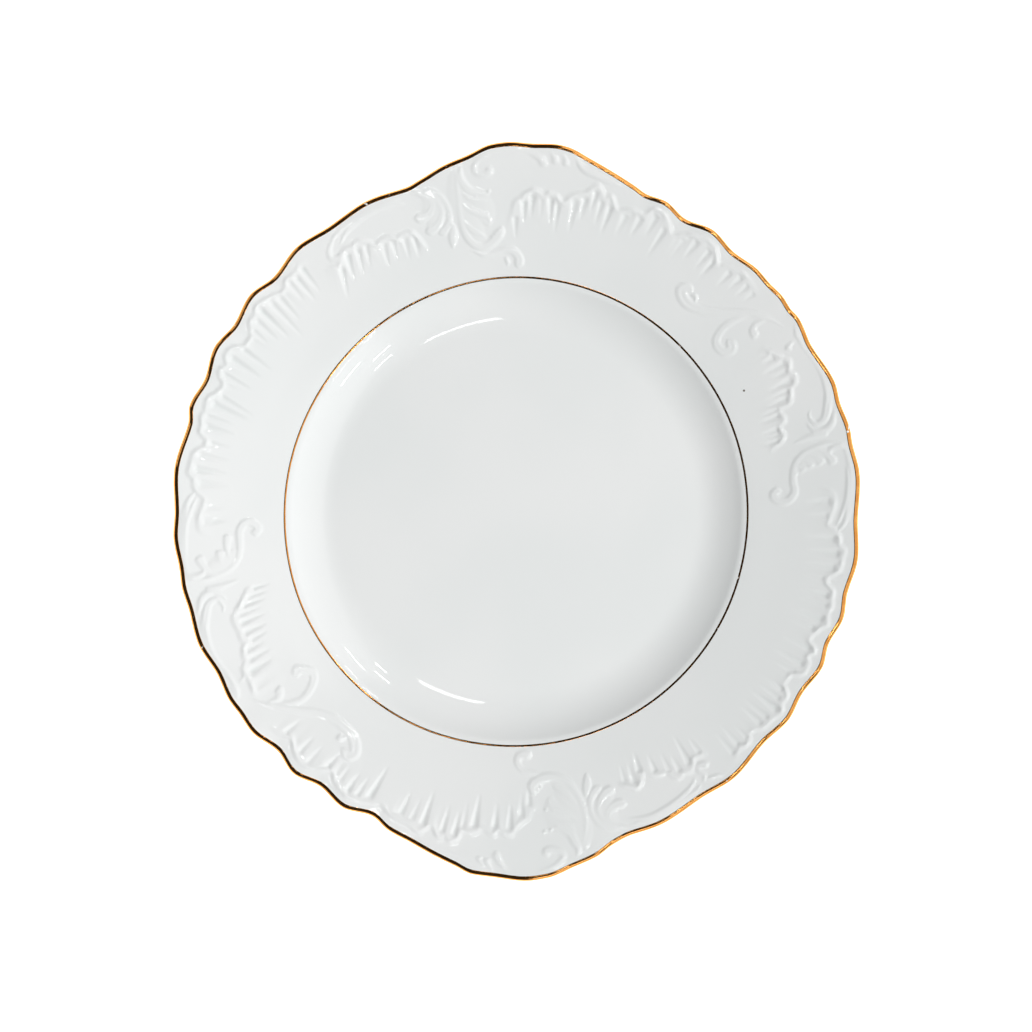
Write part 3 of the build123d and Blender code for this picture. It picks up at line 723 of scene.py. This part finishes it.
def burnished_gold():
    look = Look("burnished_gold")
    metal = look.mix(look.ramp(look.noise(260.0, 3.0), 0.35, 0.7), GOLD_BRIGHT, GOLD_DEEP)
    worn = look.ramp(look.noise(330.0, 5.0), 0.69, 0.72)
    look.feed("Base Color", look.mix(worn, metal, GLAZE_COOL))
    look.feed("Metallic", look.ramp(look.noise(330.0, 5.0), 0.69, 0.72, 1.0, 0.0))
    look.feed("Roughness", look.ramp(look.noise(700.0, 4.0), 0.3, 0.7, 0.07, 0.17))
    look.bump(look.noise(520.0, 3.0), 0.12, 0.00006)
    return look.material


def bare_clay():
    look = Look("bare_clay")
    ground = look.mix(look.ramp(look.noise(120.0, 6.0), 0.3, 0.7), CLAY_PALE, CLAY_GREY)
    look.feed("Base Color", look.mix(look.specks(900.0, 0.9, 0.25), ground, SPECK))
    look.feed("Roughness", look.ramp(look.noise(900.0, 4.0), 0.3, 0.7, 0.6, 0.85))
    look.bump(look.noise(2200.0, 4.0), 0.5, 0.0001)
    return look.material


MATERIALS = {"glaze": glazed_porcelain(), "gold": burnished_gold(), "porcelain": bare_clay()}


# ---- Meshes ---------------------------------------------------------------------------
def grid_mesh(name, points, closed=True, normals=None, slot="glaze", cap=None):
    """A mesh from a grid of points [angle, ring, xyz] in millimetres.

    closed joins the last angle to the first. cap closes the first ring, the last or both with
    a centre point. The faces look up where the rings run outwards.
    """
    n, m = points.shape[:2]
    index = np.arange(n * m).reshape(n, m)
    a = index if closed else index[:-1]
    b = np.roll(index, -1, 0) if closed else index[1:]
    quads = np.stack([a[:, :-1], a[:, 1:], b[:, 1:], b[:, :-1]], -1).reshape(-1, 4)
    faces = quads.tolist()
    verts = (points.reshape(-1, 3) * MM).tolist()
    if cap in ("first", "both"):
        verts.append([0, 0, float(points[:, 0, 2].mean()) * MM])
        faces += [[len(verts) - 1, int(p), int(q)] for p, q in zip(a[:, 0], b[:, 0])]
    if cap in ("last", "both"):
        verts.append([0, 0, float(points[:, -1, 2].mean()) * MM])
        faces += [[len(verts) - 1, int(q), int(p)] for p, q in zip(a[:, -1], b[:, -1])]
    mesh = bpy.data.meshes.new(name)
    mesh.from_pydata(verts, [], faces)
    mesh.polygons.foreach_set("use_smooth", np.ones(len(faces), bool))
    mesh.update()
    if normals is not None:
        mesh.normals_split_custom_set_from_vertices(normals.reshape(-1, 3).tolist())
    mesh.materials.append(MATERIALS[slot])
    obj = bpy.data.objects.new(name, mesh)
    bpy.context.scene.collection.objects.link(obj)
    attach(obj, "root")
    return obj


def lathe(name, r, z, segments, face=False, **more):
    """A surface of revolution through rings at radii r and heights z."""
    turn = np.linspace(0, 2 * np.pi, segments, endpoint=False)
    return grid_mesh(name, around(strayed(r, turn) if face else r, z, turn), **more)


# The shoulder strays by DRIFT. This fades in over the first span of radii, and out over the second.
STRAY_IN, STRAY_OUT = (70.0, 83.0), (91.0, 102.0)
STRAY_SPREAD = 0.36  # radians by which the values in DRIFT blend into each other


def strayed(r, turn):
    """Radii r, [angle, ring] or [ring], moved out or in near the shoulder by DRIFT."""
    t = np.radians([p[0] for p in DRIFT])
    value = np.array([p[1] for p in DRIFT])
    gap = np.abs(np.mod(turn[:, None] - t + np.pi, 2 * np.pi) - np.pi)
    weight = np.exp(-((gap / STRAY_SPREAD) ** 2))
    drift = (weight * value).sum(1) / weight.sum(1)
    rise = np.clip((r - STRAY_IN[0]) / (STRAY_IN[1] - STRAY_IN[0]), 0, 1)
    fade = np.clip((STRAY_OUT[1] - r) / (STRAY_OUT[1] - STRAY_OUT[0]), 0, 1)
    near = rise * rise * (3 - 2 * rise) * fade * fade * (3 - 2 * fade)
    return r + drift[:, None] * near


def around(r, z, turn):
    """Grid points [angle, ring, xyz] from radii and heights, each [angle, ring] or [ring]."""
    r, z, cosine, sine = np.broadcast_arrays(r, z, np.cos(turn)[:, None], np.sin(turn)[:, None])
    return np.stack([cosine * r, sine * r, z], -1)


def grid_normals(points):
    """Unit normals of a grid of points [angle, ring, xyz] that is closed in angle."""
    along = np.roll(points, -1, 0) - np.roll(points, 1, 0)
    out = np.gradient(points, axis=1)
    n = np.cross(out, along)
    return n / np.linalg.norm(n, axis=-1, keepdims=True)


def build_flange(turn, edge):
    """The face of the flange with its relief, in two halves."""
    share = np.linspace(0, 1, N_RING)
    r = FLANGE_IN + (edge - BAND_IN - FLANGE_IN)[:, None] * share
    flange = around(strayed(r, turn), face_z(r) + rim_wave(edge, r), turn)
    relief = Relief(flange[..., 0], flange[..., 1])
    build_relief(relief)
    height = softened(relief.height())
    flange[..., 2] += height * np.clip((1 - share) * END_FADE, 0, 1)
    normals = grid_normals(flange)
    half = N_ANGLE // 2
    for name, start in (("flange_relief_a", 0), ("flange_relief_b", half)):
        rows = np.arange(start, start + half + 1) % N_ANGLE
        obj = grid_mesh(name, flange[rows], closed=False, normals=normals[rows])
        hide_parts("face_glaze")
        hollow = obj.data.attributes.new("hollow", "FLOAT", "POINT")
        depth = np.clip(-height[rows], 0, 1).ravel().astype(np.float32)
        hollow.data.foreach_set("value", depth)


def build_well():
    """The floor, wall and shoulder, out to under the gold line."""
    r = np.concatenate([np.linspace(2, 68, 34), np.linspace(69, LINE_R - 0.2, 60)])
    well = lathe("well", r, face_z(r), 900, face=True, cap="first")
    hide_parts("face_glaze")


def build_line():
    """The gold line: a low dome over the glaze."""
    r = LINE_R + np.linspace(-LINE_HALF, LINE_HALF, 9)
    dome = LINE_CROWN * (1 - ((r - LINE_R) / LINE_HALF) ** 2)
    line = lathe("gilded_line", r, face_z(r) + dome - LINE_SINK, 900, face=True, slot="gold")
    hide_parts("gold_inner_line")


def build_band(turn, edge):
    """The gold band: a short flat on the face, round the lip, and in along the back."""
    section = np.linspace(0, math.pi, 23)
    drop = (1 - np.cos(section)) / 2
    rings = [edge - BAND_IN] + [edge - LIP_DEPTH * (1 - x) for x in np.sin(section)]
    r = np.stack(rings + [edge - BAND_BACK], 1)
    top = face_z(edge - BAND_IN)[:, None] + BAND_LIFT
    low = back_z(edge - BAND_IN)[:, None]
    wave = rim_wave(edge, r)
    z = top + (low - top) * np.concatenate([[0], drop, [1]]) + wave
    z[:, 0] -= BAND_LIFT
    z[:, -1] = back_z(edge - BAND_BACK) + wave[:, -1]
    band = grid_mesh("gilded_lip", around(r, z, turn), slot="gold")
    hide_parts("gold_rim_band")


# How the back's glaze turns down over the foot ring: (outwards from FOOT_OUT, down)
FOOT_FOLD = [(0.25, 0.12), (0.0, 0.32), (-0.2, 0.6), (-0.55, 1.0), (-1.3, 1.85)]


def build_back(turn, edge):
    """The back, from the gold band to the foot ring, in two pieces."""
    third = slice(None, None, 3)
    share = np.linspace(0, 1, 48)
    r = (edge - BAND_BACK)[:, None] * (1 - share) + BACK_JOIN_R * share
    wave = rim_wave(edge, r)[third]
    back = grid_mesh("back_flange", around(r[third], back_z(r[third]) + wave, turn[third]))
    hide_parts("back_glaze")
    start = FOOT_OUT + 0.6
    r = np.concatenate([np.linspace(BACK_JOIN_R, 86.8, 8), np.linspace(86, start, 18)])
    out, down = np.array(FOOT_FOLD).T
    z = np.concatenate([back_z(r), back_z(start) - down])
    wall = lathe("back_wall", np.concatenate([r, FOOT_OUT + out]), z, 512)
    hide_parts("back_glaze")


# The glaze inside the foot ring: (radius, height)
RECESS = [
    (70.62, 0.8), (70.2, 1.45), (69.75, 1.9), (69.2, 2.1), (68.4, 2.15), (67.0, 2.15), (60, 2.13),
    (50, 2.1), (40, 2.08), (30, 2.06), (20, 2.05), (10, 2.05), (2.0, 2.05),
]


def build_recess():
    """The underside of the floor, inside the foot ring."""
    r, z = np.array(RECESS).T
    recess = lathe("foot_recess_glaze", r, z, 360, cap="last")
    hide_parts("base_glaze")


# The fired body's foot ring, bare below the coats, and the underside of its floor: (radius, height)
FOOT = [
    (FOOT_OUT - 0.3, 2.72), (74.15, 0.95), (74.0, 0.32), (73.55, 0.0), (71.45, 0.0), (71.0, 0.32),
    (70.9, 0.95), (69.8, 2.35), (68, 2.4), (40, 2.4), (3.0, 2.4),
]
# How far the fired body lies under the coats, which hide it, and where its zones meet
BODY_UNDER_FACE, BODY_UNDER_FLANGE, BODY_OVER_BACK, BODY_OVER_WALL = 0.6, 1.4, 0.5, 0.25
BODY_FLANGE_R = 90.0
BODY_RIM_INSET = 2.0


def build_body(turn, edge):
    """The fired body, closed, just under the coats and bare at the foot ring."""
    fifth = slice(None, None, 5)
    turn, edge = turn[fifth], edge[fifth][:, None]
    out = np.linspace(0, 1, 10)
    top_r = np.concatenate([np.linspace(3, 68, 14), np.linspace(69.5, 88, 20)])
    rim_r = BODY_FLANGE_R + (edge - BODY_RIM_INSET - BODY_FLANGE_R) * out
    wall_r = np.linspace(88, FOOT_OUT + 0.4, 10)
    foot_r, foot_z = np.array(FOOT).T
    zones = [
        (strayed(top_r, turn), face_z(top_r) - BODY_UNDER_FACE),
        (rim_r, face_z(rim_r) - BODY_UNDER_FLANGE),
        (rim_r[:, ::-1], back_z(rim_r[:, ::-1]) + BODY_OVER_BACK),
        (wall_r, back_z(wall_r) + BODY_OVER_WALL),
        (foot_r, foot_z),
    ]
    points = np.concatenate([around(r, z, turn) for r, z in zones], 1)
    body = grid_mesh("fired_body", points, slot="porcelain", cap="both")
    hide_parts("porcelain_body")


def build_plate():
    """Every piece of the plate."""
    turn = np.arange(N_ANGLE) * 2 * np.pi / N_ANGLE
    edge = outline_radius(np.degrees(turn))
    build_flange(turn, edge)
    build_well()
    build_line()
    build_band(turn, edge)
    build_back(turn, edge)
    build_recess()
    build_body(turn, edge)


build_plate()

# ---- Floor, lights and camera, in metres ----------------------------------------------
floor_mesh = bpy.data.meshes.new("floor")
floor_mesh.from_pydata([(-3, -3, 0), (3, -3, 0), (3, 3, 0), (-3, 3, 0)], [], [(0, 1, 2, 3)])
floor = bpy.data.objects.new("floor", floor_mesh)
bpy.context.scene.collection.objects.link(floor)
floor_look = Look("pale_floor")
floor_look.shader.inputs["Base Color"].default_value = (0.9, 0.9, 0.9, 1)
floor_look.shader.inputs["Roughness"].default_value = 0.8
floor_look.shader.inputs["Emission Color"].default_value = (1, 1, 1, 1)
floor_look.shader.inputs["Emission Strength"].default_value = 0.9
floor_mesh.materials.append(floor_look.material)

LAMP_DISTANCE = 3.0


def softbox(name, azimuth, elevation, width, height, radiance, mirrored=True):
    """A flat lamp LAMP_DISTANCE from the plate, facing it, its long side level.

    A lamp that isn't mirrored is a bounced light, too diffuse to show as a reflection.
    """
    light = bpy.data.lights.new(name, "AREA")
    light.shape = "RECTANGLE"
    light.size, light.size_y = width, height
    light.energy = math.pi * width * height * radiance
    obj = bpy.data.objects.new(name, light)
    a, e = math.radians(azimuth), math.radians(elevation)
    flat = LAMP_DISTANCE * math.cos(e)
    obj.location = (flat * math.cos(a), flat * math.sin(a), LAMP_DISTANCE * math.sin(e))
    obj.rotation_euler = (-obj.location).to_track_quat("-Z", "Y").to_euler()
    obj.visible_glossy = mirrored
    bpy.context.scene.collection.objects.link(obj)


# Strips and boxes that the glaze mirrors: (name, azimuth, elevation, width, height, radiance)
LAMPS = [
    ("key_strip_high", 312.6, 66.4, 0.14, 0.06, 25.0),
    ("key_strip_mid", 311.7, 55.8, 0.19, 0.06, 25.0),
    ("key_strip_low", 321.2, 46.8, 0.28, 0.055, 22.0),
    ("fill_strip_high", 48.6, 67.0, 0.09, 0.06, 25.0),
    ("fill_strip_mid", 50.4, 59.2, 0.14, 0.06, 25.0),
    ("fill_strip_low", 41.5, 49.5, 0.28, 0.06, 25.0),
    ("low_fill", 58.0, 27.0, 1.6, 0.8, 2.8),
    ("front_fill", 293.0, 27.0, 1.6, 0.8, 2.3),
    ("left_fill", 150.0, 26.0, 1.8, 0.9, 1.1),
    ("far_box", 70.5, 78.5, 0.21, 0.15, 8.0),
    ("near_box", 286.8, 78.5, 0.25, 0.13, 8.0),
]
for lamp in LAMPS:
    softbox(*lamp)

# Bounced light, in the same form
BOUNCED = [
    ("key_bounce_high", 311.7, 63.3, 0.6, 0.6, 28.3),
    ("key_bounce_low", 320.7, 54.6, 0.6, 0.6, 16.5),
    ("fill_bounce", 48.0, 59.0, 0.6, 0.6, 2.5),
]
for lamp in BOUNCED:
    softbox(*lamp, mirrored=False)

# A broad soft window of light from the right, in an otherwise dim room
WINDOW_AZIMUTH, WINDOW_ELEVATION = math.radians(-1), math.radians(40)
WINDOW_HALF, WINDOW_CORE = math.radians(40), math.radians(33)  # from its centre to its edges
WINDOW_RADIANCE, ROOM_RADIANCE = 0.93, 0.03
world = bpy.data.worlds.new("studio")
world.use_nodes = True
wn, wl = world.node_tree.nodes, world.node_tree.links
coord = wn.new("ShaderNodeTexCoord")
toward = wn.new("ShaderNodeVectorMath")
toward.operation = "DOT_PRODUCT"
flat = math.cos(WINDOW_ELEVATION)
toward.inputs[1].default_value = (
    flat * math.cos(WINDOW_AZIMUTH), flat * math.sin(WINDOW_AZIMUTH), math.sin(WINDOW_ELEVATION)
)
wn["Background"].inputs["Color"].default_value = (1, 1, 1, 1)
wl.new(coord.outputs["Generated"], toward.inputs[0])
window = wn.new("ShaderNodeMapRange")
window.interpolation_type = "SMOOTHSTEP"
window.inputs["From Min"].default_value = math.cos(WINDOW_HALF)
window.inputs["From Max"].default_value = math.cos(WINDOW_CORE)
window.inputs["To Min"].default_value = ROOM_RADIANCE
window.inputs["To Max"].default_value = WINDOW_RADIANCE
wl.new(toward.outputs["Value"], window.inputs["Value"])
wl.new(window.outputs["Result"], wn["Background"].inputs["Strength"])
bpy.context.scene.world = world

# The camera looks straight down from CAMERA_HEIGHT. FIELD is how wide it sees at the rim.
CAMERA_HEIGHT = 2.0
CAMERA_OFFSET = (-0.00024, -0.0017)
RIM_HEIGHT = 0.022
FIELD = 0.3911
camera = bpy.data.cameras.new("camera")
eye = bpy.data.objects.new("camera", camera)
camera.sensor_width = 36.0
camera.lens = camera.sensor_width * (CAMERA_HEIGHT - RIM_HEIGHT) / FIELD
camera.clip_end = 20
eye.location = (*CAMERA_OFFSET, CAMERA_HEIGHT)
bpy.context.scene.collection.objects.link(eye)
bpy.context.scene.camera = eye
bpy.context.scene.view_settings.view_transform = "Standard"
